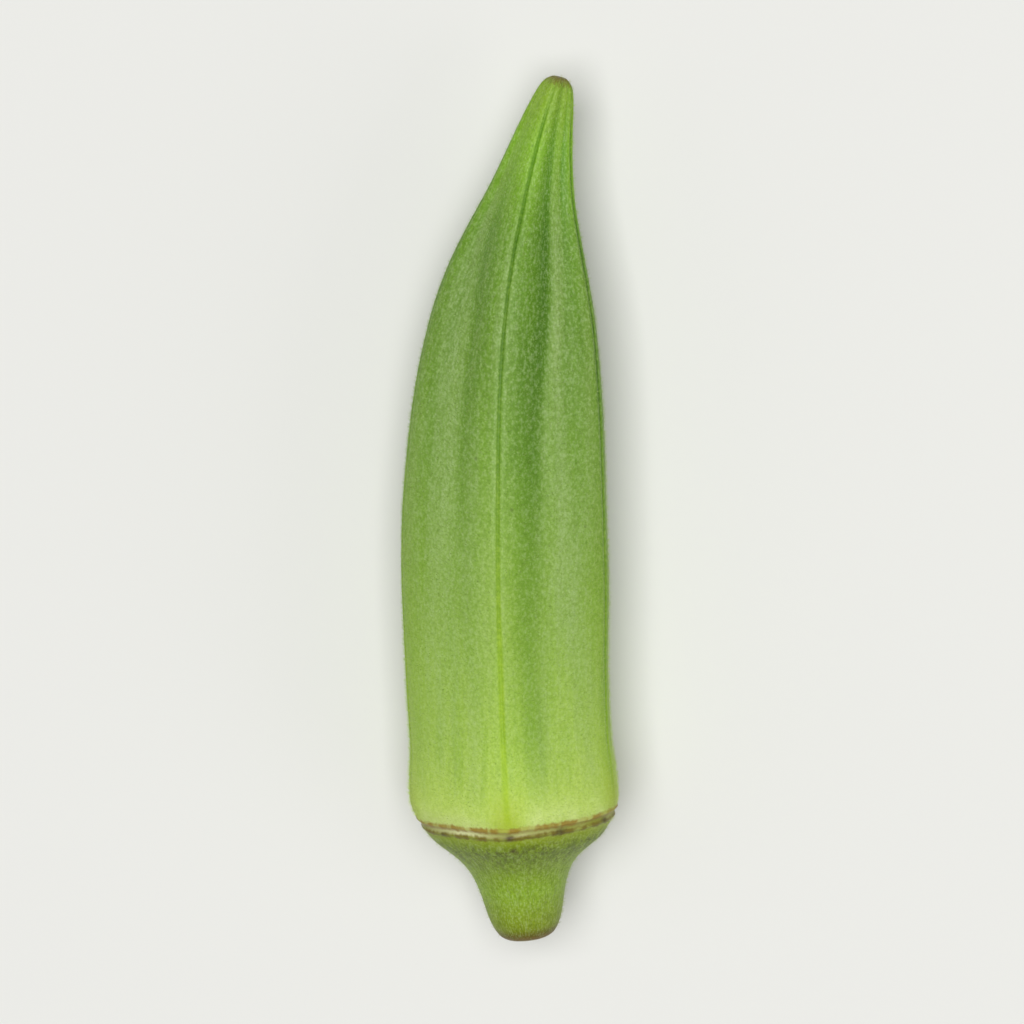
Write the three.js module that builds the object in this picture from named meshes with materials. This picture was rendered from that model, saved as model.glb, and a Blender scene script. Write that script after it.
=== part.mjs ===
// Okra pod, as picked: five-ridged capsule, scar ring, receptacle and short cut stalk, grown as one piece.
// Millimetres. The pod lies on its side: +Y runs from the cut stalk to the tip, +Z is up, +X is to the
// right.
// The origin is under the middle of the pod, on the plane that the pod rests on.
import * as THREE from "three";

// Places along the pod, from the cut end of the stalk.
const FLARE_START = 4.4;
const SCAR_AT = 11.5;
const WIDEST_AT = 34.4;
const BEAK_START = 66.4;
const POD_LENGTH = 80.4;

// Radii, measured over the ridges.
const STALK_END_RADIUS = 3.2;
const STALK_RADIUS = 3.95;
const SCAR_RADIUS = 9.4;
const WIDEST_RADIUS = 9.95;
const TIP_RADIUS = 1.8;

// The capsule between its scar and its tip: the radius at each place along it.
const CAPSULE_STATIONS = [
  { at: 13.8, radius: 10.1 }, // shoulder above the scar
  { at: 19.4, radius: 9.72 }, // slight waist
  { at: WIDEST_AT, radius: WIDEST_RADIUS },
  { at: 46.4, radius: 9.52 }, // start of the taper
  { at: 57.9, radius: 8.1 }, // middle of the taper
  { at: BEAK_START, radius: 5.55 }, // root of the beak
  { at: 73, radius: 3.4 }, // middle of the beak
];

// Small shapes at the edges of the pieces above.
const RIM_ROUNDING = 1.2;
const TIP_ROUNDING = 0.9;
const SCAR_THICKNESS = 0.35;
const TRUMPET_NECK = { out: 0.25, along: 2.8 };
const TRUMPET_LIP = { in: 2.2, along: 2.6 };

// Ridges: how far the faces between them sink, as a share of the radius, and the grooves beside each rib.
const RIDGES = 5;
const SINK_AT_SCAR = 0.05;
const SINK_AT_WIDEST = 0.075;
const SINK_AT_BEAK = 0.17;
const GROOVE_DEPTH = 0.022;

// The ridges turn a little round the pod, from its middle to the beak.
const TWIST = THREE.MathUtils.degToRad(5);
const TWIST_FROM = 36;
const TWIST_TO = 68;

// The scar and the shoulder above it stand this far nearer the tip on the left side, and the lean fades
// over this length.
const COLLAR_LEAN = 0.3;
const COLLAR_LENGTH = 5;

// The pod bows sideways in the plane it lies in, and its beak hooks a little further.
const BOW_DEEPEST_AT = 36.9;
const BOW_TO_STALK = 0.00135;
const BOW_TO_TIP = 0.002;
const BEAK_HOOK = 3.4e-7;

// The underside is flat where the pod rests, at this depth below its axis.
const REST_DEPTH = 8.8;

const SIDES = 40;
const CURVE_STEPS = 3;

// Half outline of the straight pod: x is the radius and y is the length along it. It starts and ends on
// the axis.
function podOutline() {
  const outline = new THREE.Path();
  outline.moveTo(0, 0);
  outline.lineTo(STALK_END_RADIUS - RIM_ROUNDING, 0);
  outline.quadraticCurveTo(STALK_END_RADIUS, 0, STALK_END_RADIUS, RIM_ROUNDING);
  outline.lineTo(STALK_RADIUS, FLARE_START);
  // The receptacle flares like a trumpet up to the scar left by the fallen calyx.
  outline.bezierCurveTo(
    STALK_RADIUS + TRUMPET_NECK.out,
    FLARE_START + TRUMPET_NECK.along,
    SCAR_RADIUS - TRUMPET_LIP.in,
    SCAR_AT - TRUMPET_LIP.along,
    SCAR_RADIUS,
    SCAR_AT - SCAR_THICKNESS,
  );
  outline.lineTo(SCAR_RADIUS, SCAR_AT);
  // The capsule swells over its shoulder, narrows a little, swells again and tapers into the beak.
  const capsule = CAPSULE_STATIONS.map(({ at, radius }) => new THREE.Vector2(radius, at));
  capsule.push(new THREE.Vector2(TIP_RADIUS, POD_LENGTH - TIP_ROUNDING));
  outline.splineThru(capsule);
  outline.quadraticCurveTo(TIP_RADIUS, POD_LENGTH, TIP_RADIUS - TIP_ROUNDING, POD_LENGTH);
  outline.lineTo(0, POD_LENGTH);
  return outline.getPoints(CURVE_STEPS);
}

// How far the faces sink between the ridges at a place along the pod: not at all on the round stalk, and
// most on the beak.
function faceSink(along) {
  if (along < SCAR_AT) {
    return SINK_AT_SCAR * THREE.MathUtils.smoothstep(along, FLARE_START, SCAR_AT);
  }
  const toWidest = THREE.MathUtils.smoothstep(along, SCAR_AT, WIDEST_AT);
  const toBeak = THREE.MathUtils.smoothstep(along, WIDEST_AT, BEAK_START);
  const lowerSink = THREE.MathUtils.lerp(SINK_AT_SCAR, SINK_AT_WIDEST, toWidest);
  return THREE.MathUtils.lerp(lowerSink, SINK_AT_BEAK, toBeak);
}

// Radius factor round the pod. The angle is from the top of the pod. A low rib stands in the middle of
// each face, with a shallow groove between it and the ridge on each side.
function ridgeFactor(angle, along) {
  const fromRidge = angle + TWIST * THREE.MathUtils.smoothstep(along, TWIST_FROM, TWIST_TO);
  const face = (faceSink(along) * (1 - Math.cos(RIDGES * fromRidge))) / 2;
  const grooveDepth = GROOVE_DEPTH * THREE.MathUtils.smoothstep(along, SCAR_AT, WIDEST_AT);
  const groove = (grooveDepth * (1 - Math.cos(2 * RIDGES * fromRidge))) / 2;
  return 1 - face - groove;
}

// How far a point moves along the pod because the collar leans.
function collarShift(across, along) {
  const nearCollar = Math.exp(-(((along - SCAR_AT) / COLLAR_LENGTH) ** 2));
  return (-COLLAR_LEAN * across * nearCollar) / SCAR_RADIUS;
}

// Sideways place and slope of the bowed axis.
function bow(along) {
  const d = along - BOW_DEEPEST_AT;
  if (d < 0) {
    return { offset: BOW_TO_STALK * d ** 2, slope: 2 * BOW_TO_STALK * d };
  }
  return {
    offset: BOW_TO_TIP * d ** 2 + BEAK_HOOK * d ** 4,
    slope: 2 * BOW_TO_TIP * d + 4 * BEAK_HOOK * d ** 3,
  };
}

// Moves a point of the straight round pod to its place on the ridged, bowed and resting one.
function shapePoint(point) {
  const angle = Math.atan2(point.x, point.z);
  const radius = Math.hypot(point.x, point.z) * ridgeFactor(angle, point.y);
  const across = radius * Math.sin(angle);
  const along = point.y + collarShift(across, point.y);
  const { offset, slope } = bow(along);
  const lean = Math.atan(slope);
  point.set(
    offset + across * Math.cos(lean),
    along - across * Math.sin(lean),
    Math.max(radius * Math.cos(angle), -REST_DEPTH),
  );
}

function podGeometry() {
  const geometry = new THREE.LatheGeometry(podOutline(), SIDES);
  const positions = geometry.getAttribute("position");
  const point = new THREE.Vector3();
  for (let i = 0; i < positions.count; i += 1) {
    point.fromBufferAttribute(positions, i);
    shapePoint(point);
    positions.setXYZ(i, point.x, point.y, point.z);
  }
  // The middle of the box goes over the origin, and the resting face goes on the ground plane.
  geometry.computeBoundingBox();
  const middle = geometry.boundingBox.getCenter(new THREE.Vector3());
  geometry.translate(-middle.x, -middle.y, REST_DEPTH);
  geometry.computeVertexNormals();
  return geometry;
}

const skin = new THREE.MeshStandardMaterial({ color: 0x84a94c, roughness: 0.62, metalness: 0 });

const pod = new THREE.Mesh(podGeometry(), skin);
pod.name = "okra_pod";

const okra = new THREE.Group();
okra.add(pod);

export default okra;
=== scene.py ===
# %% [markdown]
# # An okra pod
# Okra is the seed capsule of a mallow plant. It grows as one piece: a short stalk, the trumpet-shaped
# receptacle that carried the flower, a scar where the collar of the flower fell off, and a long capsule
# with five ridges that runs out into a curved beak. All of it is covered in short stiff down. The
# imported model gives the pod's place and size. This lesson models the fine shape over it, then grows the
# down, mixes the finishes and sets up a small studio.

import math

import bpy
import numpy as np
from mathutils import Matrix, Vector, noise


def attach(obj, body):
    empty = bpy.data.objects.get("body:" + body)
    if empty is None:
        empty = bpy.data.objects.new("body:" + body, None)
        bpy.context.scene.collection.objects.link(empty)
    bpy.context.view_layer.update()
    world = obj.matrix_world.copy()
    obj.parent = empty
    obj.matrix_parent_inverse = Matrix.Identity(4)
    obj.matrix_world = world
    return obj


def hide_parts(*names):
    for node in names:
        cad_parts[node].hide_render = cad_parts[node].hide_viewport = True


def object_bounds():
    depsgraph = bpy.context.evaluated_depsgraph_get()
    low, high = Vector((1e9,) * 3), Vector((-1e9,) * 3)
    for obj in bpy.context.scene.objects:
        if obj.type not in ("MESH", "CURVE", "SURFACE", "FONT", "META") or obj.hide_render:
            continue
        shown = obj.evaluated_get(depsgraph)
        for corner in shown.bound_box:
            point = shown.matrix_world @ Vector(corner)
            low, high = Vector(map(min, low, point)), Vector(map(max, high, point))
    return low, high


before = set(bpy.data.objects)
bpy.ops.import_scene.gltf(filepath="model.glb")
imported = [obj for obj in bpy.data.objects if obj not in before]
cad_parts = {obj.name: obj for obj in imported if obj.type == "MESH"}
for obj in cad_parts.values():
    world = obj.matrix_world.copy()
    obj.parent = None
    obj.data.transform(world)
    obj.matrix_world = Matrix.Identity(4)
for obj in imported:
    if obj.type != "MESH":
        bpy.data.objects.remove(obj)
cad_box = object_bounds()
print("packed model from", cad_box[0], "to", cad_box[1])

# %% [markdown]
# ## Sizes
# A pod is easiest to think of straight, round and in millimetres: a place along it, counted from the
# cut end of the stalk, and a radius there. So every size below is written that way, and the bow, the
# ridges and the scale to metres come later, in one step.

# %% Sizes of the pod, in millimetres
MM = 0.001
box_low, box_high = (Vector(corner) / MM for corner in cad_box)

FLARE_AT = 4.4
SCAR_AT = 11.5
WIDEST_AT = 34.4
BEAK_AT = 66.4
POD_LENGTH = 80.4

STALK_END_RADIUS = 2.2
SCAR_RADIUS = 9.3
CAPSULE_RADIUS = 9.8  # over most of the capsule's length
DOWN_DEPTH = 0.16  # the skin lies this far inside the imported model, and the down fills the rest

# Radius over the ridges at each place along the pod.
OUTLINE = [
    (0.0, STALK_END_RADIUS),
    (0.3, 2.7),
    (0.8, 3.05),
    (1.6, 3.45),
    (2.8, 3.77),
    (FLARE_AT, 4.12),
    (6.0, 4.65),
    (7.4, 5.45),
    (8.8, 6.9),
    (10.0, 8.3),
    (SCAR_AT, SCAR_RADIUS),
    (12.3, 9.7),
    (13.8, 10.08),
    (16.4, 9.95),
    (19.4, 9.72),
    (26.0, 9.75),
    (WIDEST_AT, 9.95),
    (40.5, 9.82),
    (46.4, 9.52),
    (52.2, 8.98),
    (57.9, 8.1),
    (62.3, 6.95),
    (BEAK_AT, 5.55),
    (69.8, 4.3),
    (73.0, 3.4),
    (76.5, 2.55),
    (79.0, 1.9),
    (79.9, 1.4),
    (80.25, 0.8),
]
print("pod", POD_LENGTH, "mm long and", 2 * max(radius for _, radius in OUTLINE), "mm across its ridges")


# %% A smooth curve through stations
def smooth_through(stations, at):
    """Values at the given places, on a smooth curve through (place, value) stations, with no overshoot."""
    places, values = (np.array(column, float) for column in zip(*stations))
    slopes = np.diff(values) / np.diff(places)
    tangents = np.zeros(len(places))
    rising = slopes[:-1] * slopes[1:] > 0
    tangents[1:-1][rising] = 2 * (slopes[:-1] * slopes[1:])[rising] / (slopes[:-1] + slopes[1:])[rising]
    tangents[0], tangents[-1] = slopes[0], slopes[-1]
    at = np.clip(at, places[0], places[-1])
    i = np.clip(np.searchsorted(places, at) - 1, 0, len(places) - 2)
    span = places[i + 1] - places[i]
    t = (at - places[i]) / span
    return (
        values[i] * (1 + 2 * t) * (1 - t) ** 2
        + span * tangents[i] * t * (1 - t) ** 2
        + values[i + 1] * t**2 * (3 - 2 * t)
        + span * tangents[i + 1] * t**2 * (t - 1)
    )


def smoothstep(value, start, end):
    """0 before start and 1 after end, with a soft turn at both."""
    t = np.clip((value - start) / (end - start), 0, 1)
    return t * t * (3 - 2 * t)


print("radius at the scar, widest part and beak:", smooth_through(OUTLINE, [SCAR_AT, WIDEST_AT, BEAK_AT]))

# %% [markdown]
# ## The capsule and stalk
# The real pod is a round stalk that swells into a pointed capsule. It could be lathed from an outline,
# or pulled out of a circle ring by ring. Pulling the rings out leaves each one where it is wanted:
# close together at the scar and the cut end, where small things happen, and wide apart on the plain
# capsule. Its length runs along Y from the start, so nothing is turned later.

# %% Draw a ring and pull it out along the pod
COLUMNS = 60


def ring_places():
    """Places of the rings along the pod: close together at the cut end, the scar and the tip."""
    return np.concatenate(
        [
            [0.0, 0.15, 0.35, 0.7],
            np.arange(1.2, 9.3, 0.75),
            np.arange(9.6, 13.1, 0.3),
            np.arange(13.5, 78.4, 1.1),
            [79.0, 79.5, 79.9, 80.15, 80.25],
        ]
    )


def select_ring(mesh_object, at):
    """Selects the points of one ring, in edit mode."""
    bpy.ops.object.mode_set(mode="OBJECT")
    for vertex in mesh_object.data.vertices:
        vertex.select = bool(abs(vertex.co.y / MM - at) < 0.01)
    bpy.ops.object.mode_set(mode="EDIT")


def pull_ring(step, scale, middle):
    """Pulls the selected ring out by a step along Y, and scales it round the axis."""
    bpy.ops.mesh.extrude_region_move(TRANSFORM_OT_translate={"value": (0, step * MM, 0)})
    bpy.ops.transform.resize(value=(scale, 1, scale), center_override=(0, middle * MM, 0))


def close_end(at):
    """Fills the open ring with smaller and smaller rings and one middle point."""
    for scale in (0.86, 0.78, 0.66, 0.5):
        bpy.ops.mesh.extrude_region_move()
        bpy.ops.transform.resize(value=(scale, 1, scale), center_override=(0, at * MM, 0))
    bpy.ops.mesh.extrude_region_move()
    bpy.ops.mesh.merge(type="CENTER")


bpy.ops.object.select_all(action="DESELECT")
places = ring_places()
radii = smooth_through(OUTLINE, places) - DOWN_DEPTH
bpy.ops.mesh.primitive_circle_add(
    vertices=COLUMNS, radius=radii[0] * MM, location=(0, 0, 0), rotation=(math.pi / 2, 0, 0)
)
pod = bpy.context.object
pod.name = "pod_skin"
bpy.ops.object.transform_apply(location=False, rotation=True, scale=True)
bpy.ops.object.mode_set(mode="EDIT")
bpy.ops.mesh.select_mode(type="VERT")
bpy.ops.mesh.select_all(action="SELECT")
for i in range(1, len(places)):
    pull_ring(places[i] - places[i - 1], radii[i] / radii[i - 1], places[i])
close_end(places[-1])
select_ring(pod, places[0])
close_end(places[0])
bpy.ops.mesh.select_all(action="SELECT")
bpy.ops.mesh.normals_make_consistent(inside=False)
bpy.ops.object.mode_set(mode="OBJECT")
print(len(places), "rings,", len(pod.data.polygons), "faces before smoothing")

# %% [markdown]
# ## A finer skin
# Two rounds of subdivision turn the 60 columns into 240, so a face is about a quarter of a millimetre
# wide. The columns are gathered towards the five ridges first, because the thin line along each ridge
# is the finest thing on the capsule.

# %% Gather the columns at the ridges and subdivide
RIDGES = 5
GATHER = 0.55  # 0 leaves the columns evenly spread, and 1 would pile them up on the ridges
TWIST = math.radians(5)


def read_points(mesh):
    """The mesh's points as an array, in millimetres."""
    flat = np.zeros(len(mesh.vertices) * 3)
    mesh.vertices.foreach_get("co", flat)
    return flat.reshape(-1, 3) / MM


def write_points(mesh, points):
    """Puts the points back, in metres."""
    mesh.vertices.foreach_set("co", (points * MM).ravel())
    mesh.update()


def polar(points):
    """Each point's angle from the top ridge, and its distance from the pod's straight axis."""
    return np.arctan2(points[:, 0], points[:, 2]), np.hypot(points[:, 0], points[:, 2])


def twist(along):
    """Angle by which the ridges have turned at each place: a little, from the pod's middle to its beak."""
    return -TWIST * smoothstep(along, 36, 68)


points = read_points(pod.data)
angle, radius = polar(points)
angle += twist(points[:, 1]) - GATHER * np.sin(RIDGES * angle) / RIDGES
points[:, 0], points[:, 2] = radius * np.sin(angle), radius * np.cos(angle)
write_points(pod.data, points)

finer = pod.modifiers.new("finer skin", "SUBSURF")
finer.levels = finer.render_levels = 2
bpy.ops.object.modifier_apply(modifier=finer.name)
print("pod_skin has", len(pod.data.polygons), "faces")

# %% [markdown]
# ## Ridges, lines and lumps
# The capsule is five seed chambers grown together. Each makes a ridge with a thin sunken line along its
# crest, and between two ridges the face sinks into two shallow valleys with a low rib between them.
# Near the scar the pod is almost round, and towards the beak it turns sharply five-sided. Pushing
# single faces about would take all day, so each point is moved by a rule that knows its place along the
# pod and its angle round it: sculpting with numbers.

# %% How far each point stands in or out
SECTOR = 360 / RIDGES  # degrees from one ridge to the next
GRAIN_RADIUS = 10  # patterns are drawn on a straight tube this wide, so they don't stretch round the pod

# Depth of the valley to the left and to the right of each ridge, from the top one round to the right:
# first on the capsule, and then on the beak. No two are quite alike.
VALLEY_DEPTHS = [(0.5, 1.15), (0.3, 0.8), (0.9, 0.6), (0.7, 1.0), (0.6, 0.3)]
BEAK_DEPTHS = [(0.15, 1.3), (0.9, 0.8), (0.9, 0.6), (0.7, 1.0), (0.6, 0.3)]
LOW_VALLEY = {"from_ridge": math.radians(16.5), "half_width": 1.75, "share": 0.38}
LEFT_DRIFT = 16  # degrees that the middle of the left upper face drifts towards its side ridge, by the beak
RIGHT_DRIFT = 12
CREST_LINE = {"depth": 0.1, "half_width": 0.15}
CREST_LIPS = {"height": 0.05, "half_width": 0.4, "from_line": 0.5}


def bell(distance, half_width):
    """A soft bump: 1 at no distance, and next to nothing past two half widths."""
    return np.exp(-((distance / half_width) ** 2))


def streak_noise(angle, along, across_mm, along_mm, seed):
    """Smooth noise from -1 to 1 that is stretched along the pod, for each point."""
    around = GRAIN_RADIUS / across_mm
    rows = zip(np.sin(angle) * around, along / along_mm, np.cos(angle) * around)
    return np.array([noise.noise(Vector((x + seed, y, z - seed))) for x, y, z in rows])


def ridge_places(angle, along):
    """Number of the nearest ridge, and the angle from it. The ridges wander a little, as grown ones do."""
    wander = 0.006 * np.sin(along / 11.0) + 0.003 * np.sin(along / 3.7 + 1.0)
    wander -= 0.035 * smoothstep(along, 58, 70) + 0.04 * smoothstep(along, 68, 76)
    turned = angle - twist(along) - wander * smoothstep(along, SCAR_AT, WIDEST_AT)
    sector = math.radians(SECTOR)
    number = np.round(turned / sector)
    return number.astype(int) % RIDGES, turned - number * sector


def slope_places(angle, along):
    """The same as ridge_places, but measured as if the middle of every face lay halfway between ridges.

    Towards the beak, the middles of the two upper faces really drift out to the side ridges.
    """
    number, off_ridge = ridge_places(angle, along)
    turn = (SECTOR * number + np.degrees(off_ridge) + 180) % 360 - 180
    far = np.abs(turn)
    left_drift = LEFT_DRIFT * smoothstep(along, 56, 69)
    right_drift = RIGHT_DRIFT * smoothstep(along, 50, 68)
    half = SECTOR / 2
    middle = half + np.where(turn < 0, left_drift, right_drift)
    beyond = SECTOR - half * (SECTOR - far) / (SECTOR - middle)
    evened = np.where(far < middle, half * far / middle, beyond)
    turn = np.where(far < SECTOR, np.sign(turn) * evened, turn)
    nearest = np.rint(turn / SECTOR)
    return nearest.astype(int) % RIDGES, np.radians(turn - SECTOR * nearest)


def upper_faces(number, off_ridge):
    """Whether each point is on the upper face to the left of the top ridge, and on the one to its right."""
    left = (number == 0) & (off_ridge < 0) | (number == 4) & (off_ridge > 0)
    right = (number == 0) & (off_ridge > 0) | (number == 1) & (off_ridge < 0)
    return left, right


def towards_middle(off_ridge):
    """How far each point is on its way from the ridge, at 0, to the middle of the face, at 1."""
    return np.abs(off_ridge) * RIDGES / np.pi


def valley_profile(off_ridge, along):
    """1 along the bottom of the valley beside a ridge, and 0 on the ridge and in the middle of a face.

    The valleys lie nearest to the ridges low down, and farthest from them under the beak.
    """
    spread = 1.2 + 0.7 * smoothstep(along, 34, 52) - 0.3 * smoothstep(along, 62, 70)
    return (1 - np.cos(2 * np.pi * towards_middle(off_ridge) ** spread)) / 2


def valley_depth(number, off_ridge, along):
    """Depth of the valley on the side of the ridge that each point is on."""
    on_beak = smoothstep(along, 64, 73)[:, None]
    depths = np.array(VALLEY_DEPTHS)[number] * (1 - on_beak) + np.array(BEAK_DEPTHS)[number] * on_beak
    return np.where(off_ridge > 0, depths[:, 1], depths[:, 0])


def ridge_shape(angle, along):
    """Factor on the radius from the five ridges and the faces between them."""
    number, off_ridge = slope_places(angle, along)
    to_widest = smoothstep(along, SCAR_AT, WIDEST_AT)
    to_beak = smoothstep(along, WIDEST_AT, BEAK_AT)
    sink = 0.05 * smoothstep(along, FLARE_AT, SCAR_AT) + 0.025 * to_widest + 0.095 * to_beak
    on_left, _ = upper_faces(number, off_ridge)
    sink *= 1 - 0.35 * on_left * smoothstep(along, 62, 74)
    face = sink * (1 - np.cos(RIDGES * off_ridge)) / 2
    valley = (0.003 + 0.012 * to_widest + 0.018 * to_beak) * valley_depth(number, off_ridge, along)
    valley *= valley_profile(off_ridge, along) * smoothstep(along, SCAR_AT, SCAR_AT + 8)
    return 1 - face - valley


# The valley share thins the down, and it also paints shade into the skin's green.
def valley_share(angle, along):
    """How far down in a valley each point lies: 1 on the floor of a deep one, and 0 on the high ground.

    Low down, the valleys are no more than a narrow dip near each ridge.
    """
    number, off_ridge = slope_places(angle, along)
    across = towards_middle(off_ridge)
    near_edge = 0.13 + 0.13 * smoothstep(along, 44, 70)
    far_edge = 0.72 + 0.14 * smoothstep(along, 46, 56) * (1 - smoothstep(along, 62, 70))
    bottom = smoothstep(across - near_edge, -0.15, 0.2) * (1 - smoothstep(across - far_edge, -0.1, 0.1))
    middle = valley_profile(off_ridge, along) ** 1.3
    depth = valley_depth(number, off_ridge, along) * smoothstep(along, 18, 60)
    fading = 1 - 0.6 * smoothstep(along, 73, 79)
    patchy = 1 + 0.4 * streak_noise(angle, along, 3.0, 16.0, 31.0)
    low_down = smoothstep(along, SCAR_AT + 2, SCAR_AT + 12) * (1 - smoothstep(along, 26, 42))
    from_dip = (off_ridge - LOW_VALLEY["from_ridge"]) * CAPSULE_RADIUS
    narrow = LOW_VALLEY["share"] * bell(from_dip, LOW_VALLEY["half_width"]) * low_down
    narrow *= valley_depth(number, off_ridge, along) ** 2
    return np.clip(((0.48 * bottom + 0.45 * middle) * depth * fading + narrow) * patchy, 0, 1)


def plateau_share(angle, along):
    """How far up on the high ground between two ridges each point lies. The skin is greyed there, partly
    for its pale down and partly as painted sheen.

    It is wide beside the left ridge, and faint low down on the right.
    """
    number, off_ridge = slope_places(angle, along)
    _, on_right = upper_faces(number, off_ridge)
    beside_left_ridge = (number == 4) & (off_ridge > 0)
    narrowing = np.where(beside_left_ridge, -9 * (1 - smoothstep(along, 62, 70)), 3)
    narrowing *= smoothstep(along, 46, 58)
    between = smoothstep(np.abs(np.degrees(off_ridge)) - narrowing, 21, 31)
    on_capsule = smoothstep(along, SCAR_AT + 3, 45) * (1 - smoothstep(along, 64, 76))
    most = 1 - 0.5 * on_right * (1 - smoothstep(along, 36, 48))
    patchy = 1 + 0.6 * streak_noise(angle, along, 3.0, 20.0, 61.0)
    return np.clip(most * between * on_capsule * patchy, 0, 1)


def thin_down_and_shade_share(angle, along):
    """A band along the side ridges, the right one most, with thin down and painted shade."""
    number, off_ridge = ridge_places(angle, along)
    most = np.array([0, 1, 0.3, 0, 0.3])[number]
    on_capsule = smoothstep(along, SCAR_AT + 1, SCAR_AT + 4) * (1 - smoothstep(along, 60, 72))
    return most * bell(off_ridge * CAPSULE_RADIUS, 1.3) * on_capsule


def crest_shape(angle, along, radius):
    """Height of the sunken line along each ridge and of the lips beside it."""
    number, off_ridge = ridge_places(angle, along)
    from_line = np.abs(off_ridge) * radius
    strength = smoothstep(along, SCAR_AT + 0.6, SCAR_AT + 12) * (1 - smoothstep(along, 78.5, 80.2))
    lips = CREST_LIPS["height"] * bell(from_line - CREST_LIPS["from_line"], CREST_LIPS["half_width"])
    lips *= 0.35 + 0.65 * smoothstep(along, 24, 42)
    line = CREST_LINE["depth"] * bell(from_line, CREST_LINE["half_width"])
    return strength * (lips - line)


def lump_shape(angle, along):
    """Small unevenness: soft lumps over the seeds, and fine strands that run along the skin."""
    on_capsule = smoothstep(along, SCAR_AT + 1, SCAR_AT + 8)
    lumps = 0.10 * streak_noise(angle, along, 7.0, 9.0, 3.1)
    strands = 0.02 * streak_noise(angle, along, 1.5, 18.0, 11.7)
    strands += 0.008 * streak_noise(angle, along, 0.7, 7.0, 5.3)
    return (0.35 + 0.65 * on_capsule) * (lumps + strands)


points = read_points(pod.data)
angle, straight_radius = polar(points)
along = points[:, 1].copy()
radius = straight_radius * ridge_shape(angle, along)
off_axis = np.minimum(1, straight_radius / STALK_END_RADIUS)  # so the middles of both ends stay smooth
radius += off_axis * (crest_shape(angle, along, straight_radius) + lump_shape(angle, along))
print("radius from", round(radius.min(), 2), "to", round(radius.max(), 2), "mm")

# %% [markdown]
# ## The scar
# The collar under the flower tears off all round and leaves a ring: two thin corky lips, dried brown,
# with a pale dry groove between them. The ring isn't quite level and the lips are ragged. It has its
# own coordinate, the distance along the pod from the middle of the groove, which the finish uses too.

# %% Raise the lips of the scar
LIP_GAP = 0.41  # from the middle of the groove to each lip


def scar_distance(angle, along):
    """Distance along the pod from the middle of the scar, which wanders as it goes round."""
    level = 0.4 + 0.08 * np.cos(angle) + 0.4 * np.sin(angle)
    level += 0.05 * np.sin(3 * angle + 2) + 0.04 * np.sin(7 * angle) - 0.12 * bell(angle, 0.12)
    return along - SCAR_AT - level


def scar_shape(angle, along):
    """Height of the two lips and the depth of the groove between them."""
    off = scar_distance(angle, along)
    ragged = 1 + 0.55 * streak_noise(angle, along, 0.8, 4.0, 21.0)
    upper = 0.08 * bell(off - LIP_GAP, 0.13) * ragged
    lower = 0.10 * bell(off + LIP_GAP, 0.15) * ragged
    groove = 0.10 * bell(off, 0.22)
    return upper + lower - groove


radius += scar_shape(angle, along)
print("scar lips stand up to", round(float(scar_shape(angle, along).max()), 2), "mm high")

# %% [markdown]
# ## Bow and rest
# A pod grows bent, and its beak hooks further. Each slice of the straight pod is moved sideways onto
# the bowed axis and turned square to it. Then the underside is eased flat where the pod's weight rests
# on it.

# %% Bend the pod and set it down
BOW_DEEPEST_AT = 36.9
BOW_TO_STALK = 0.0015
BOW_TO_TIP = 0.002
BEAK_HOOK = 3.4e-7
REST_DEPTH = 8.8  # from the axis down to what the pod rests on
REST_SOFTNESS = 0.25
COLLAR_LEAN = 0.05  # each millimetre to the left, the scar and its shoulder stand this much nearer the tip
COLLAR_LENGTH = 5  # the lean fades out over this length


def bow(along):
    """Sideways place of the bowed axis, and its lean."""
    d = along - BOW_DEEPEST_AT
    offset = np.where(d < 0, BOW_TO_STALK * d**2, BOW_TO_TIP * d**2 + BEAK_HOOK * d**4)
    slope = np.where(d < 0, 2 * BOW_TO_STALK * d, 2 * BOW_TO_TIP * d + 4 * BEAK_HOOK * d**3)
    return offset, np.arctan(slope)


def bent(angle, radius, along):
    """Points of the bowed pod, with its axis at the height that it lies at."""
    across, up = radius * np.sin(angle), radius * np.cos(angle)
    along = along - COLLAR_LEAN * across * bell(along - SCAR_AT, COLLAR_LENGTH)
    offset, lean = bow(along)
    sideways = offset + across * np.cos(lean)
    lengthways = along - across * np.sin(lean)
    return np.stack([sideways, lengthways, up + REST_DEPTH], axis=1)


def settled(points):
    """Points with the underside eased flat, so none is below what the pod rests on."""
    over = points[:, 2] / REST_SOFTNESS
    eased = REST_SOFTNESS * np.logaddexp(0, np.clip(over, -40, 40))
    points[:, 2] = np.where(over > 20, points[:, 2], eased)
    return points


points = settled(bent(angle, radius, along))
middle = (points.min(0) + points.max(0)) / 2
box_middle = (box_low + box_high) / 2
shift = np.array([box_middle.x - middle[0], box_middle.y - middle[1], 0])
write_points(pod.data, points + shift)
print("skin from", (points + shift).min(0), "to", (points + shift).max(0))

# %% [markdown]
# ## What the finish needs to know
# The finish changes along the pod and with the distance from the ridge lines and the scar. Each point
# carries these numbers as attributes, so a pattern follows the bowed pod and not the room. Places and
# distances are in millimetres, and shares go from 0 to 1.

# %% Store the pod's own coordinates on its points
def store(mesh, name, values):
    """Stores a number or a vector for each point."""
    kind, key = ("FLOAT_VECTOR", "vector") if values.ndim == 2 else ("FLOAT", "value")
    mesh.attributes.new(name, kind, "POINT").data.foreach_set(key, values.astype(np.float32).ravel())


# Dark marks on and under the scar: degrees from the top, millimetres along from the scar, and half width.
BLEMISHES = [
    (0, -0.3, 0.42),
    (1.5, -1.7, 0.4),
    (31, -0.3, 0.5),
    # painted shade: this mark darkens the scar on the pod's right side
    (64, -0.25, 0.42),
    (112, -0.35, 0.5),
    (-118, -0.3, 0.55),
    (-47, -0.45, 0.3),
    (170, -1.3, 0.4),
]


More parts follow.
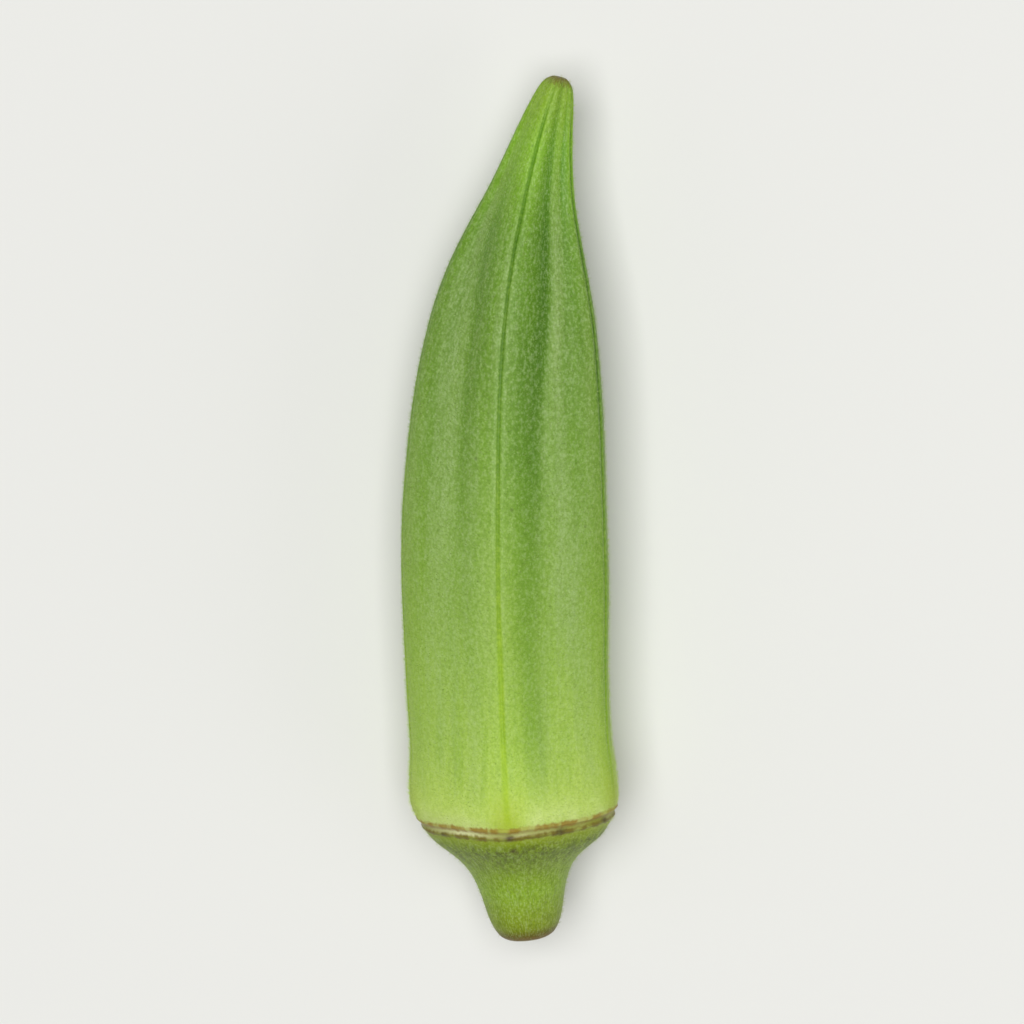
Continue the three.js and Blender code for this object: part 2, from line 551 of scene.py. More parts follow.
def blemish_share(angle, along):
    """How dark each point is with the small marks that the scar has where it was knocked.

    The mark at 64 degrees is painted shade.
    """
    share = np.zeros(len(angle))
    for turn, off, half_width in BLEMISHES:
        across = (angle - math.radians(turn) + math.pi) % (2 * math.pi) - math.pi
        distance = np.hypot(across * SCAR_RADIUS, (scar_distance(angle, along) - off) * 1.4)
        share = np.maximum(share, bell(distance, half_width))
    return share


def dried_share(angle, along):
    """How brown the scar has dried at each point: all round, apart from three paler stretches.

    The two stretches on top are partly a painted highlight.
    """
    patches = 0.35 * streak_noise(angle, along, 2.5, 30.0, 47.0)
    pale_and_highlit = 0.9 * bell(angle + 0.53, 0.33) + 0.35 * bell(angle - 0.3, 0.3) + 0.6 * bell(angle - 2.6, 0.6)
    return np.clip(0.9 - pale_and_highlit + patches, 0, 1)


_, turn_off_ridge = ridge_places(angle, along)
off_ridge = turn_off_ridge * straight_radius
numbers = {
    "along": along,
    "off_ridge": off_ridge,
    "past_ridge": np.abs(off_ridge) - 0.3,  # a little short, so it never beats the signed one on a line
    "off_scar": scar_distance(angle, along),
    "valley": valley_share(angle, along),
    "high_ground_sheen": plateau_share(angle, along),
    "thin_down_and_shade": thin_down_and_shade_share(angle, along),
    "dried": dried_share(angle, along),
    "blemish": blemish_share(angle, along),
}
for name, values in numbers.items():
    store(pod.data, name, values)
store(pod.data, "from_axis", straight_radius)
across_grain, up_grain = GRAIN_RADIUS * np.sin(angle), GRAIN_RADIUS * np.cos(angle)
store(pod.data, "grain", np.stack([across_grain, along, up_grain], axis=1))
for polygon in pod.data.polygons:
    polygon.use_smooth = True
print("attributes:", [a.name for a in pod.data.attributes if not a.name.startswith(".")])

# %% [markdown]
# ## Down
# Short stiff hairs cover the whole pod. They make it look velvety, because they catch light that the
# skin below doesn't. Hair curves would be lost in an export, so each hair is a thin spike of four
# triangles. They lean towards the tip, each its own way, and stand thickest on the high ground.

# %% Grow the down
HAIRS = 54000  # scattered for each piece, before the valleys are thinned
HAIR_LENGTH = (0.16, 0.4)
HAIR_WIDTH = 0.028
HAIR_ROOT = 0.03  # each hair starts this far under the skin
BARE_SCAR = 0.6  # no hairs this near the middle of the scar or the cut end
BARE_LINE = 0.3
THINNED = {"valley": 0.72, "stalk": 0.55, "thin_down_and_shade": 0.7}  # the share of hairs that is missing there


def scattered(mesh, count, rng):
    """Random spots spread evenly over a mesh: their places, normals and faces."""
    mesh.calc_loop_triangles()
    corners = np.zeros(len(mesh.loop_triangles) * 3, np.int64)
    mesh.loop_triangles.foreach_get("vertices", corners)
    corners = corners.reshape(-1, 3)
    a, b, c = (read_points(mesh)[corners[:, k]] for k in range(3))
    cross = np.cross(b - a, c - a)
    area = np.linalg.norm(cross, axis=1) / 2
    picked = rng.choice(len(area), count, p=area / area.sum())
    u, v = rng.random(count), rng.random(count)
    flip = u + v > 1
    u[flip], v[flip] = 1 - u[flip], 1 - v[flip]
    spots = a[picked] + u[:, None] * (b - a)[picked] + v[:, None] * (c - a)[picked]
    normals = cross[picked] / (2 * area[picked])[:, None]
    return spots, normals, corners[picked, 0]


def unit(vectors):
    """The vectors at length 1."""
    return vectors / np.linalg.norm(vectors, axis=1)[:, None]


def spikes(roots, tips, width, name):
    """One mesh of thin closed spikes with three sides and a base, each from a root to a tip."""
    lean = unit(tips - roots)
    side = unit(np.cross(lean, np.array([0.3, 0.2, 0.93])))
    other = np.cross(lean, side)
    turns = [2 * math.pi * k / 3 for k in range(3)]
    base = [roots + width / 2 * (math.cos(t) * side + math.sin(t) * other) for t in turns]
    points = np.stack([*base, tips], axis=1).reshape(-1, 3)
    one = np.array([[0, 1, 3], [1, 2, 3], [2, 0, 3], [0, 2, 1]])
    faces = (one[None] + 4 * np.arange(len(roots))[:, None, None]).reshape(-1, 3)
    mesh = bpy.data.meshes.new(name)
    mesh.from_pydata((points * MM).tolist(), [], faces.tolist())
    mesh.update()
    return mesh


def grow_down(name, count, seed):
    """One mesh of hairs: fewer in the valleys and on the stalk, none on the scar and the ridge lines."""
    rng = np.random.default_rng(seed)
    spots, normals, owners = scattered(pod.data, count, rng)
    spot_angle, spot_along = angle[owners], along[owners]
    off_scar = np.abs(scar_distance(spot_angle, spot_along)) > BARE_SCAR
    clear = off_scar & (spot_along > BARE_SCAR) & (spots[:, 2] > HAIR_ROOT)
    thick = 1 - THINNED["valley"] * valley_share(spot_angle, spot_along)
    thick -= THINNED["stalk"] * (spot_along < SCAR_AT)
    thick *= 1 - bell(off_ridge[owners], BARE_LINE)
    thick *= 1 - THINNED["thin_down_and_shade"] * thin_down_and_shade_share(spot_angle, spot_along)
    keep = clear & (rng.random(count) < thick)
    spots, normals, spot_along = spots[keep], normals[keep], spot_along[keep]
    lean = unit(normals + np.array([0, 0.5, 0]) + rng.normal(0, 0.3, spots.shape))
    length = rng.uniform(*HAIR_LENGTH, len(spots))
    tips = np.clip(spots + lean * length[:, None], np.array(box_low), np.array(box_high))
    hairs = bpy.data.objects.new(name, spikes(spots - normals * HAIR_ROOT, tips, HAIR_WIDTH, name))
    bpy.context.scene.collection.objects.link(hairs)
    store(hairs.data, "along", np.repeat(spot_along, 4))
    print(name, "has", len(spots), "hairs and", len(hairs.data.polygons), "triangles")
    return hairs


downs = [grow_down("pod_down", HAIRS, 7), grow_down("pod_underdown", HAIRS, 8)]

# %% [markdown]
# ## Colours and nodes
# Colours are given as sRGB hex values, and the renderer wants linear light, so one function
# turns them over. A second one adds a node, sets it up, plugs it in and hands back one of its outputs,
# so that a finish reads as a list of layers. A third one starts an empty finish.

# %% Helpers for finishes
def linear(hex_colour):
    """Linear red, green, blue and alpha of an sRGB hex colour."""
    channels = [int(hex_colour[i : i + 2], 16) / 255 for i in (1, 3, 5)]
    return [c / 12.92 if c <= 0.04045 else ((c + 0.055) / 1.055) ** 2.4 for c in channels] + [1.0]


def add(tree, kind, inputs=None, output=0, **settings):
    """Adds a node, sets its properties, links or sets its inputs, and returns one of its outputs."""
    node = tree.nodes.new(kind)
    for name, value in settings.items():
        setattr(node, name, value)
    for key, value in (inputs or {}).items():
        if isinstance(value, bpy.types.NodeSocket):
            tree.links.new(value, node.inputs[key])
        else:
            node.inputs[key].default_value = value
    return None if output is None else node.outputs[output]


SOFT = {"interpolation_type": "SMOOTHSTEP"}  # a map range with a soft start and end
COLOURS = {"data_type": "RGBA"}  # a mix of colours: its share is input 0, and the colours are 6 and 7
TINTED = {"data_type": "RGBA", "blend_type": "MULTIPLY"}
TIMES = {"operation": "MULTIPLY"}
PLUS = {"operation": "ADD"}


def new_finish(name):
    """An empty node material, and the tree to build it in."""
    material = bpy.data.materials.new(name)
    material.use_nodes = True
    material.node_tree.nodes.clear()
    return material, material.node_tree


print("middle grey in linear light:", round(linear("#808080")[0], 3))

# %% [markdown]
# ## Patterns that follow the pod
# Most patterns are stretched along the pod, so they are drawn on the straight pod's coordinates, which
# every point carries. Dots are the same in every direction, and are drawn in plain object space.

# %% What the layers read and draw with
def pod_numbers(tree):
    """The numbers stored on the skin's points, by name, and the distance from the nearest ridge line.

    The signed distance is exact at a ridge line, but it jumps halfway to the next ridge, so the unsigned
    one takes over there.
    """
    own = {name: add(tree, "ShaderNodeAttribute", output="Fac", attribute_name=name) for name in numbers}
    exact = add(tree, "ShaderNodeMath", {0: own["off_ridge"]}, operation="ABSOLUTE")
    own["from_ridge"] = add(tree, "ShaderNodeMath", {0: exact, 1: own["past_ridge"]}, operation="MAXIMUM")
    return own


def along_the_grain(tree, width, length, seed):
    """Noise whose patches are this wide and long in millimetres and run along the pod."""
    grain = add(tree, "ShaderNodeAttribute", output="Vector", attribute_name="grain")
    scale = (1 / width, 1 / length, 1 / width)
    placement = {"Vector": grain, "Location": (seed, seed, -seed), "Scale": scale}
    placed = add(tree, "ShaderNodeMapping", placement)
    return add(tree, "ShaderNodeTexNoise", {"Vector": placed, "Scale": 1.0, "Detail": 2.0})


TUFT_SPACING = 0.26  # millimetres from one tuft of hairs to the next


def dots(tree, spacing, seed):
    """Distance from the nearest of many scattered dots, as a share of their spacing in millimetres."""
    place = add(tree, "ShaderNodeTexCoord", output="Object")
    placement = {"Vector": place, "Location": (seed, 0, 0), "Scale": (1 / MM, 1 / MM, 1 / MM)}
    placed = add(tree, "ShaderNodeMapping", placement)
    return add(tree, "ShaderNodeTexVoronoi", {"Vector": placed, "Scale": 1 / spacing})


def specks(tree, spacing, radius, seed):
    """Round dots of this spacing and radius in millimetres: 1 in a dot, and 0 between them."""
    fall = {0: dots(tree, spacing, seed), 1: radius / spacing, 2: 0.4 * radius / spacing}
    return add(tree, "ShaderNodeMapRange", fall, **SOFT)


print("one tuft of down every", TUFT_SPACING, "mm")

# %% [markdown]
# ## The skin's colour along the pod
# Fresh okra is palest just above the scar, where it grew last, deepest over the upper half, and
# yellower again at the beak. The receptacle below the scar is olive, and the stalk is yellow-green.

# %% Green, from the cut end to the tip
SKIN_STOPS = [
    # the tan at the cut end is partly the pale cut edge and partly a painted highlight on the rim
    (0.0, "#8E7E44"),
    (0.4, "#5E500E"),
    (0.85, "#6A680C"),
    (1.4, "#7E9012"),
    (5.0, "#8AAA2C"),
    (8.0, "#809A28"),
    (9.6, "#728A0A"),
    (10.8, "#849818"),
    (11.5, "#8C9C24"),
    (12.1, "#BACC70"),
    (13.8, "#B7D060"),
    (20.0, "#A4C354"),
    (33.4, "#8BAE41"),
    (46.8, "#779E35"),
    (58.0, "#6F9534"),
    (66.0, "#6C962A"),
    (74.0, "#87B628"),
    (79.6, "#8AAC26"),
    (80.4, "#827A2E"),
]


def colour_along(tree, along_pod):
    """The skin's colour by its place along the pod."""
    share = add(tree, "ShaderNodeMath", {0: along_pod, 1: POD_LENGTH}, operation="DIVIDE")
    blended = add(tree, "ShaderNodeValToRGB", {0: share})
    elements = blended.node.color_ramp.elements
    elements.remove(elements[-1])
    elements[0].position = 0
    elements[0].color = linear(SKIN_STOPS[0][1])
    for place, colour in SKIN_STOPS[1:]:
        elements.new(place / POD_LENGTH).color = linear(colour)
    return blended


print(len(SKIN_STOPS), "colours along the pod")

# %% [markdown]
# ## Bands, down and valleys
# Fibres run the length of the pod under the skin, so the unevenness in its colour is drawn out into
# soft bands. The down over them makes a fine velvety stipple: pale where hairs stand thick, and clear
# green between them. The valleys have less down and are painted a deeper green, which is partly
# painted shade, and the high ground is greyed with painted sheen.

# %% Layers of the capsule's green
# Bands: width and length in millimetres, seed, and the most that they change the colour.
BANDS = ((4.0, 30.0, 2, 0.4), (1.4, 13.0, 4, 0.28), (0.5, 5.0, 6, 0.14))
LINE_REACH = {"on_beak": 0.28, "low_down": 0.52}  # from the middle of a ridge line to its soft edge


def band_layer(tree, own, colour):
    """Soft bands along the capsule, some greyer with down and some yellower."""
    above_scar = add(tree, "ShaderNodeMapRange", {0: own["off_scar"], 1: 1.0, 2: 6.0}, **SOFT)
    before_beak = add(tree, "ShaderNodeMapRange", {0: own["along"], 1: 77.0, 2: 62.0, 3: 0.35}, **SOFT)
    on_capsule = add(tree, "ShaderNodeMath", {0: above_scar, 1: before_beak}, **TIMES)
    for width, length, seed, most in BANDS:
        band = along_the_grain(tree, width, length, seed)
        for end, tone in ((0.7, "#98B46A"), (0.3, "#7DA624")):
            reach = add(tree, "ShaderNodeMapRange", {0: band, 1: 0.5, 2: end, 4: most}, **SOFT)
            share = add(tree, "ShaderNodeMath", {0: reach, 1: on_capsule}, **TIMES)
            colour = add(tree, "ShaderNodeMix", {0: share, 6: colour, 7: linear(tone)}, 2, **COLOURS)
    return colour


def valley_layer(tree, own, colour):
    """Deeper green in the valleys, for thin down and painted shade, and greyer on the high ground.

    The grey is pale down and painted sheen. Along the side ridges the down is thin, and the skin is
    painted a deeper yellow-green, which is partly painted shade.
    """
    # painted sheen: the high ground is greyed, partly for its pale down
    grey = add(tree, "ShaderNodeMath", {0: own["high_ground_sheen"], 1: 0.36}, **TIMES)
    colour = add(tree, "ShaderNodeMix", {0: grey, 6: colour, 7: linear("#A0BA78")}, 2, **COLOURS)
    # painted shade: the valleys and the bands along the side ridges get a deeper green, partly for thin
    # down
    for share, tint in ((own["valley"], "#B6CE70"), (own["thin_down_and_shade"], "#E2EE88")):
        clear = add(tree, "ShaderNodeMix", {0: 1.0, 6: colour, 7: linear(tint)}, 2, **TINTED)
        colour = add(tree, "ShaderNodeMix", {0: share, 6: colour, 7: clear}, 2, **COLOURS)
    return colour


def stipple_layer(tree, own, colour):
    """The velvety stipple of the down: a pale dot where each tuft stands, and clear green in the gaps."""
    tufts = dots(tree, TUFT_SPACING, 0)
    mottle = along_the_grain(tree, 0.35, 0.5, 23)
    pale = add(tree, "ShaderNodeMix", {0: 0.5, 6: colour, 7: linear("#C4D8A4")}, 2, **COLOURS)
    clear = add(tree, "ShaderNodeMix", {0: 1.0, 6: colour, 7: linear("#CAD886")}, 2, **TINTED)
    plain = colour
    patterns = ((tufts, 0.4, 0.05, 0.8, 0.45), (mottle, 0.5, 0.7, 0.3, 0.4))
    for pattern, middle, pale_at, clear_at, most in patterns:
        gap = add(tree, "ShaderNodeMapRange", {0: pattern, 1: middle, 2: clear_at, 4: most})
        dot = add(tree, "ShaderNodeMapRange", {0: pattern, 1: middle, 2: pale_at, 4: most})
        colour = add(tree, "ShaderNodeMix", {0: gap, 6: colour, 7: clear}, 2, **COLOURS)
        colour = add(tree, "ShaderNodeMix", {0: dot, 6: colour, 7: pale}, 2, **COLOURS)
    above = add(tree, "ShaderNodeMapRange", {0: own["along"], 1: 12.0, 2: 60.0, 3: 0.55, 4: 1.0})
    below = add(tree, "ShaderNodeMapRange", {0: own["off_scar"], 1: -0.4, 2: -1.2})
    strength = add(tree, "ShaderNodeMath", {0: above, 1: below}, operation="MAXIMUM")
    return add(tree, "ShaderNodeMix", {0: strength, 6: plain, 7: colour}, 2, **COLOURS)


def ridge_line_layer(tree, own, colour):
    """A thin bare line along each ridge: deep green on the beak, and yellow-green towards the scar.

    Low down, the line is wider and the skin beside it is yellower too.
    """
    beside = add(tree, "ShaderNodeMapRange", {0: own["from_ridge"], 1: 2.8, 2: 0.8, 4: 0.6}, **SOFT)
    above_scar = add(tree, "ShaderNodeMapRange", {0: own["off_scar"], 1: 0.5, 2: 4.0}, **SOFT)
    low_down = add(tree, "ShaderNodeMapRange", {0: own["along"], 1: 62.0, 2: 26.0}, **SOFT)
    near_ridge = add(tree, "ShaderNodeMath", {0: beside, 1: above_scar}, **TIMES)
    yellow = add(tree, "ShaderNodeMath", {0: near_ridge, 1: low_down}, **TIMES)
    yellower = add(tree, "ShaderNodeMix", {0: 1.0, 6: colour, 7: linear("#FCFFC4")}, 2, **TINTED)
    colour = add(tree, "ShaderNodeMix", {0: yellow, 6: colour, 7: yellower}, 2, **COLOURS)
    widening = {0: own["along"], 1: 38.0, 2: 24.0, 3: LINE_REACH["on_beak"], 4: LINE_REACH["low_down"]}
    reach = add(tree, "ShaderNodeMapRange", widening, **SOFT)
    line = add(tree, "ShaderNodeMapRange", {0: own["from_ridge"], 1: reach, 2: 0.07, 4: 0.95}, **SOFT)
    on_capsule = add(tree, "ShaderNodeMapRange", {0: own["off_scar"], 1: 0.5, 2: 2.0}, **SOFT)
    before_tip = add(tree, "ShaderNodeMapRange", {0: own["along"], 1: 79.0, 2: 75.0, 3: 0.3}, **SOFT)
    tints = {0: low_down, 6: linear("#B2CC0A"), 7: linear("#EEF670")}
    tint = add(tree, "ShaderNodeMix", tints, 2, **COLOURS)
    clear = add(tree, "ShaderNodeMix", {0: 1.0, 6: colour, 7: tint}, 2, **TINTED)
    here = add(tree, "ShaderNodeMath", {0: line, 1: on_capsule}, **TIMES)
    share = add(tree, "ShaderNodeMath", {0: here, 1: before_tip}, **TIMES)
    return add(tree, "ShaderNodeMix", {0: share, 6: colour, 7: clear}, 2, **COLOURS)


print("bands", [width for width, *_ in BANDS], "mm wide, and ridge lines", 2 * LINE_REACH["on_beak"], "mm")

# %% [markdown]
# ## Specks
# Here and there a pore shows dark, and a few brown specks show where the skin was rubbed.

# %% Layer of specks
# Pores and specks: spacing and radius in millimetres, seed, the most that they hide, and colour.
SPECKS = ((0.9, 0.14, 3, 0.4, "#4F7522"), (5.0, 0.24, 5, 0.5, "#4C5A1E"))


def speck_layer(tree, own, colour):
    """Dark pores and a few brown specks."""
    for spacing, radius, seed, most, tone in SPECKS:
        share = add(tree, "ShaderNodeMapRange", {0: own["along"], 1: 18.0, 2: 50.0, 3: 0.3 * most, 4: most})
        covered = add(tree, "ShaderNodeMath", {0: specks(tree, spacing, radius, seed), 1: share}, **TIMES)
        colour = add(tree, "ShaderNodeMix", {0: covered, 6: colour, 7: linear(tone)}, 2, **COLOURS)
    return colour


print("a pore every", SPECKS[0][0], "mm and a brown speck every", SPECKS[1][0], "mm")

# %% [markdown]
# ## Around the scar
# Just above the scar the skin is whitish between the ridges and yellow at the foot of each ridge. Just
# below it the receptacle is mottled olive. The scar itself is a pale corky groove between two thin
# dried lips.

# %% Layers around the scar
def shoulder_layer(tree, own, colour):
    """Whitish skin between the ridges, and yellow at their feet, just above the scar."""
    patchy = along_the_grain(tree, 2.5, 4.0, 8)
    above = add(tree, "ShaderNodeMapRange", {0: own["off_scar"], 1: 0.2, 2: 0.5}, **SOFT)
    fading = add(tree, "ShaderNodeMapRange", {0: own["off_scar"], 1: 3.5, 2: 1.0, 4: 0.35}, **SOFT)
    off_foot = add(tree, "ShaderNodeMapRange", {0: own["from_ridge"], 1: 1.0, 2: 3.0}, **SOFT)
    uneven = add(tree, "ShaderNodeMapRange", {0: patchy, 1: 0.35, 2: 0.65, 3: 0.2}, **SOFT)
    foot = add(tree, "ShaderNodeMapRange", {0: own["from_ridge"], 1: 2.4, 2: 0.2, 4: 0.8}, **SOFT)
    rising = add(tree, "ShaderNodeMapRange", {0: own["off_scar"], 1: 5.5, 2: 0.8}, **SOFT)
    for shares, tone in (((fading, off_foot, uneven), "#D8E4A0"), ((foot, rising), "#A2B72E")):
        share = above
        for factor in shares:
            share = add(tree, "ShaderNodeMath", {0: share, 1: factor}, **TIMES)
        colour = add(tree, "ShaderNodeMix", {0: share, 6: colour, 7: linear(tone)}, 2, **COLOURS)
    return colour


def receptacle_layer(tree, own, colour):
    """Mottled olive under the scar."""
    under = add(tree, "ShaderNodeMapRange", {0: own["off_scar"], 1: -5.5, 2: -2.2, 3: 0.3}, **SOFT)
    below = add(tree, "ShaderNodeMapRange", {0: own["off_scar"], 1: -0.9, 2: -2.0}, **SOFT)
    here = add(tree, "ShaderNodeMath", {0: under, 1: below}, **TIMES)
    for width, length, seed, tone in ((0.8, 1.0, 12, "#4C5C0E"), (0.3, 0.36, 14, "#4A4A08")):
        mottle = along_the_grain(tree, width, length, seed)
        dark = add(tree, "ShaderNodeMapRange", {0: mottle, 1: 0.48, 2: 0.64, 4: 0.6}, **SOFT)
        share = add(tree, "ShaderNodeMath", {0: here, 1: dark}, **TIMES)
        colour = add(tree, "ShaderNodeMix", {0: share, 6: colour, 7: linear(tone)}, 2, **COLOURS)
    return colour


def scar_layer(tree, own, colour):
    """The scar: a pale groove between two ragged brown lips, darker where it has dried, with dark marks."""
    ragged = along_the_grain(tree, 0.5, 1.0, 9)
    wobble = add(tree, "ShaderNodeMapRange", {0: ragged, 1: 0.2, 2: 0.8, 3: -0.16, 4: 0.16})
    off = add(tree, "ShaderNodeMath", {0: own["off_scar"], 1: wobble}, **PLUS)
    from_scar = add(tree, "ShaderNodeMath", {0: off}, operation="ABSOLUTE")
    # the pale cork where the scar is not dried is partly a painted highlight
    tones = {0: own["dried"], 6: linear("#D0D49A"), 7: linear("#868A2A")}
    cork = add(tree, "ShaderNodeMix", tones, 2, **COLOURS)
    groove = add(tree, "ShaderNodeMapRange", {0: from_scar, 1: LIP_GAP, 2: 0.5 * LIP_GAP}, **SOFT)
    colour = add(tree, "ShaderNodeMix", {0: groove, 6: colour, 7: cork}, 2, **COLOURS)
    gaps = along_the_grain(tree, 1.1, 3.0, 15)
    whole = add(tree, "ShaderNodeMapRange", {0: gaps, 1: 0.38, 2: 0.56, 3: 0.45}, **SOFT)
    for side, half_width, most, tone in ((1, 0.43, 0.88, "#8C6C18"), (-1, 0.36, 0.9, "#6A5A0A")):
        off_lip = add(tree, "ShaderNodeMath", {0: off, 1: side * LIP_GAP}, operation="SUBTRACT")
        from_lip = add(tree, "ShaderNodeMath", {0: off_lip}, operation="ABSOLUTE")
        fall = {0: from_lip, 1: half_width, 2: 0.3 * half_width, 4: most}
        lip = add(tree, "ShaderNodeMapRange", fall, **SOFT)
        share = add(tree, "ShaderNodeMath", {0: lip, 1: whole}, **TIMES)
        colour = add(tree, "ShaderNodeMix", {0: share, 6: colour, 7: linear(tone)}, 2, **COLOURS)
    mark = add(tree, "ShaderNodeMath", {0: own["blemish"], 1: 0.85}, **TIMES)
    return add(tree, "ShaderNodeMix", {0: mark, 6: colour, 7: linear("#3E3010")}, 2, **COLOURS)


def end_layer(tree, own, colour):
    """Brown dots that crowd on the dried tip and on the cut rim of the stalk."""
    flecks = along_the_grain(tree, 0.28, 0.3, 17)
    tip = add(tree, "ShaderNodeMapRange", {0: own["along"], 1: 78.6, 2: 80.4, 4: 0.42})
    rim = add(tree, "ShaderNodeMapRange", {0: own["along"], 1: 1.3, 2: 0.3, 4: 0.4})
    crowd = add(tree, "ShaderNodeMath", {0: tip, 1: rim}, **PLUS)
    dense = add(tree, "ShaderNodeMath", {0: flecks, 1: crowd}, **PLUS)
    brown = add(tree, "ShaderNodeMapRange", {0: dense, 1: 0.78, 2: 0.9, 4: 0.85}, **SOFT)
    return add(tree, "ShaderNodeMix", {0: brown, 6: colour, 7: linear("#6A5214")}, 2, **COLOURS)


print("the lips of the scar are drawn", round(2 * LIP_GAP, 2), "mm apart")

# %% [markdown]
# ## Fresh rind
# Plant tissue lets a little light in, has an IOR of about 1.4, and looks satin under its down, which
# needs a roughness near 0.55. The bump is only the stipple and the fibres, which are too fine for the
# mesh.

# %% Put the skin's layers together
def skin_finish():
    """Fresh okra rind: satin green under velvet, with bands, valleys, ridge lines and the dried scar."""
    material, tree = new_finish("okra_rind")
    own = pod_numbers(tree)
    colour = colour_along(tree, own["along"])
    for layer in (
        band_layer,
        valley_layer,
        stipple_layer,
        speck_layer,
        shoulder_layer,
        ridge_line_layer,
        receptacle_layer,
        scar_layer,
        end_layer,
    ):
        colour = layer(tree, own, colour)
    velvet = add(tree, "ShaderNodeMath", {0: dots(tree, TUFT_SPACING, 0), 1: -0.03}, **TIMES)
    fibres = add(tree, "ShaderNodeMath", {0: along_the_grain(tree, 0.5, 5.0, 6), 1: 0.03}, **TIMES)
    height = add(tree, "ShaderNodeMath", {0: velvet, 1: fibres}, **PLUS)
    normal = add(tree, "ShaderNodeBump", {"Height": height, "Distance": MM, "Strength": 0.8})
    satin = {0: along_the_grain(tree, 1.4, 13.0, 4), 1: 0.3, 2: 0.7, 3: 0.5, 4: 0.62}
    shader = add(
        tree,
        "ShaderNodeBsdfPrincipled",
        {
            "Base Color": colour,
            "Roughness": add(tree, "ShaderNodeMapRange", satin),
            "IOR": 1.4,
            "Subsurface Weight": 0.12,
            "Subsurface Radius": (0.9, 1.0, 0.35),
            "Subsurface Scale": 0.7 * MM,
            "Sheen Weight": 0.06,
            "Sheen Roughness": 0.45,
            "Sheen Tint": linear("#E6EFC8"),
            "Normal": normal,
        },
    )
    add(tree, "ShaderNodeOutputMaterial", {"Surface": shader}, None)
    return material


pod.data.materials.append(skin_finish())
print("finish:", pod.data.materials[0].name)

# %% [markdown]
# ## The cut end
# A knife leaves a flat face of pale spongy pith, ringed by the greener bark, with the rim dried brown.

# %% Pith of the cut stalk
def pith_finish():
    """Freshly cut stalk: pale pith, a ring of fibres, and a brown dried rim."""
    material, tree = new_finish("cut_stalk_pith")
    place = add(tree, "ShaderNodeTexCoord", output="Object")
    placed = add(tree, "ShaderNodeMapping", {"Vector": place, "Scale": (1 / MM, 1 / MM, 1 / MM)})
    cells = add(tree, "ShaderNodeTexVoronoi", {"Vector": placed, "Scale": 3.2})
    uneven = add(tree, "ShaderNodeTexNoise", {"Vector": placed, "Scale": 1.4, "Detail": 4.0})
    wobble = add(tree, "ShaderNodeMapRange", {0: uneven, 1: 0.2, 2: 0.8, 3: -0.2, 4: 0.2})
    from_axis = add(tree, "ShaderNodeAttribute", output="Fac", attribute_name="from_axis")
    edge = add(tree, "ShaderNodeMath", {0: from_axis, 1: wobble}, **PLUS)
    spongy = add(tree, "ShaderNodeMapRange", {0: cells, 1: 0.1, 2: 0.7, 4: 0.6}, **SOFT)
    tones = {0: spongy, 6: linear("#D5DBA6"), 7: linear("#B4C07C")}
    colour = add(tree, "ShaderNodeMix", tones, 2, **COLOURS)
    for start, end, most, tone in ((1.45, 1.65, 0.8, "#94A855"), (2.0, 2.25, 0.9, "#6B5427")):
        ring = add(tree, "ShaderNodeMapRange", {0: edge, 1: start, 2: end, 4: most}, **SOFT)
        colour = add(tree, "ShaderNodeMix", {0: ring, 6: colour, 7: linear(tone)}, 2, **COLOURS)
    normal = add(tree, "ShaderNodeBump", {"Height": cells, "Distance": 0.1 * MM, "Strength": 0.8})
    surface = {"Base Color": colour, "Roughness": 0.7, "IOR": 1.4, "Normal": normal}
    shader = add(tree, "ShaderNodeBsdfPrincipled", surface)
    add(tree, "ShaderNodeOutputMaterial", {"Surface": shader}, None)
    return material


pod.data.materials.append(pith_finish())
for polygon in pod.data.polygons:
    if all(along[v] < 0.1 for v in polygon.vertices):
        polygon.material_index = 1
print(sum(p.material_index for p in pod.data.polygons), "faces on the cut end")

# %% [markdown]
# ## The down's finish
# Each hair is a clear, hollow cell, so together they look whitish green.

# %% Clear hairs
def down_finish():
    """Okra down: clear hollow hairs that look pale, with a little of the pod's green."""
    material, tree = new_finish("okra_down")
    along_pod = add(tree, "ShaderNodeAttribute", output="Fac", attribute_name="along")
    green = colour_along(tree, along_pod)
    colour = add(tree, "ShaderNodeMix", {0: 0.3, 6: green, 7: linear("#D7E592")}, 2, **COLOURS)
    surface = {"Base Color": colour, "Roughness": 0.5, "IOR": 1.45}
    shader = add(tree, "ShaderNodeBsdfPrincipled", surface)
    add(tree, "ShaderNodeOutputMaterial", {"Surface": shader}, None)
    return material


hair_finish = down_finish()
for hairs in downs:
    hairs.data.materials.append(hair_finish)
print("finish of the down:", hair_finish.name)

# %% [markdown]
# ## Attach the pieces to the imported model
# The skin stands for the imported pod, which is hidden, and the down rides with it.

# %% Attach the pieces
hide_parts("okra_pod")
for piece in (pod, *downs):
    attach(piece, "root")
print("pieces on root:", [piece.name for piece in (pod, *downs)])

# %% [markdown]
# ## Studio
# A pale floor, one large soft lamp overhead, a weaker one to each side and an even grey sky. The camera
# looks down on the lying pod, a little from its tip side and its right, with the tip at the top of the
# picture.

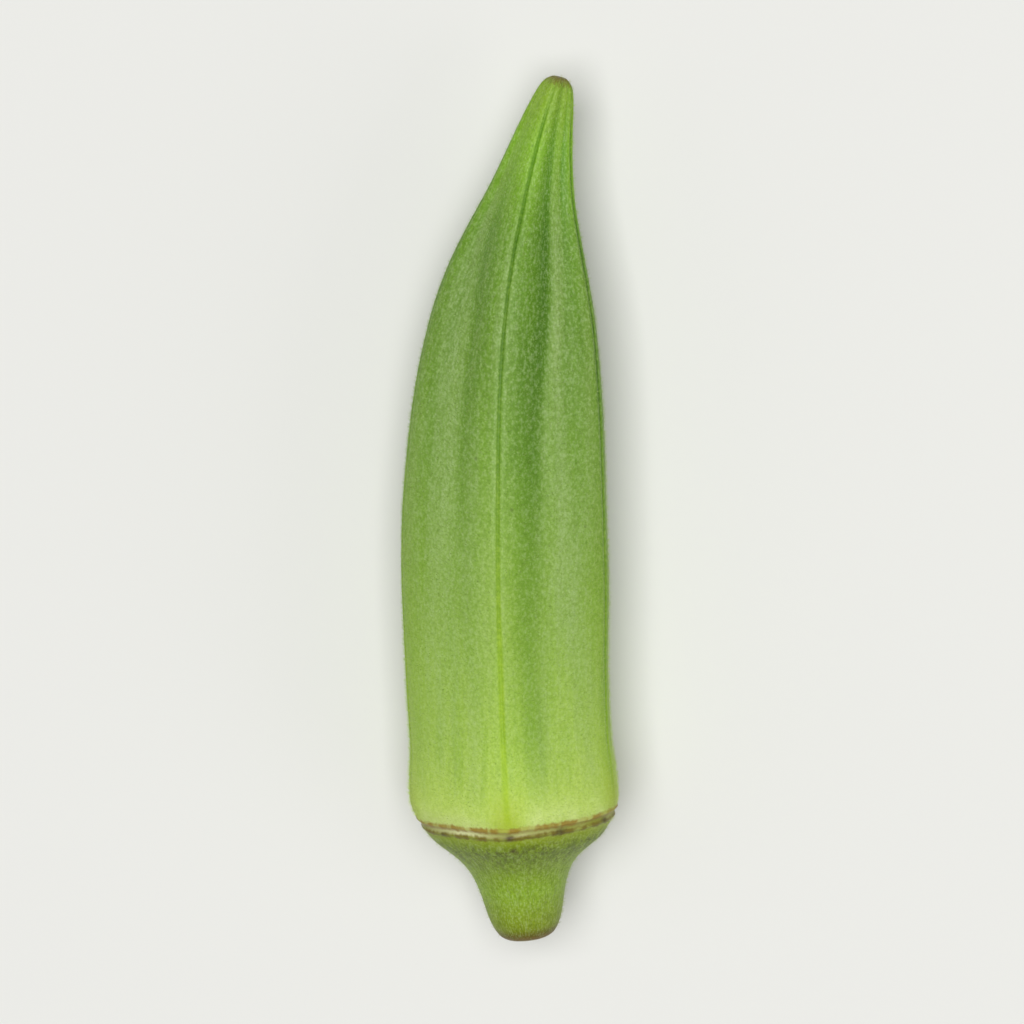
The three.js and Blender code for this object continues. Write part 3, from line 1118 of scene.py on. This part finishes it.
# %% Floor, lights and camera
CAMERA_TILT = math.radians(10)
CAMERA_ROLL = math.radians(4)
CAMERA_DISTANCE = 0.42
LENS = 160
TARGET = Vector((0, 0, 8 * MM))

bpy.ops.object.select_all(action="DESELECT")
bpy.ops.mesh.primitive_plane_add(size=8, location=(0, 0, 0))
floor = bpy.context.object
floor.name = "studio_floor"
paper, paper_tree = new_finish("floor_paper")
paper_look = {"Base Color": linear("#DEDEDA"), "Roughness": 0.8}
paper_shader = add(paper_tree, "ShaderNodeBsdfPrincipled", paper_look)
add(paper_tree, "ShaderNodeOutputMaterial", {"Surface": paper_shader}, None)
floor.data.materials.append(paper)


def lamp(name, place, size, watts):
    """A soft square lamp that points at the pod."""
    data = bpy.data.lights.new(name, "AREA")
    data.size, data.energy = size, watts
    made = bpy.data.objects.new(name, data)
    made.location = place
    made.rotation_euler = (TARGET - Vector(place)).to_track_quat("-Z", "Y").to_euler()
    bpy.context.scene.collection.objects.link(made)
    return made


lamp("overhead_lamp", (-0.05, 0.4, 3.0), 2.0, 98.7)
lamp("left_lamp", (-0.6, -0.1, 0.35), 0.4, 0.2)
lamp("right_lamp", (0.55, -0.25, 0.35), 0.4, 0.6)

world = bpy.data.worlds.new("studio_sky")
world.use_nodes = True
world.node_tree.nodes["Background"].inputs["Color"].default_value = (1, 1, 1, 1)
world.node_tree.nodes["Background"].inputs["Strength"].default_value = 0.12
bpy.context.scene.world = world
bpy.context.scene.view_settings.view_transform = "Standard"

toward = Vector((math.sin(CAMERA_ROLL), math.sin(CAMERA_TILT), math.cos(CAMERA_TILT))).normalized()
camera_data = bpy.data.cameras.new("camera")
camera_data.lens = LENS
camera_data.clip_start = 0.01
camera = bpy.data.objects.new("camera", camera_data)
camera.location = TARGET + toward * CAMERA_DISTANCE
right = Vector((0, 1, 0)).cross(toward).normalized()
camera.rotation_euler = Matrix((right, toward.cross(right), toward)).transposed().to_euler()
bpy.context.scene.collection.objects.link(camera)
bpy.context.scene.camera = camera
print("camera at", camera.location[:])
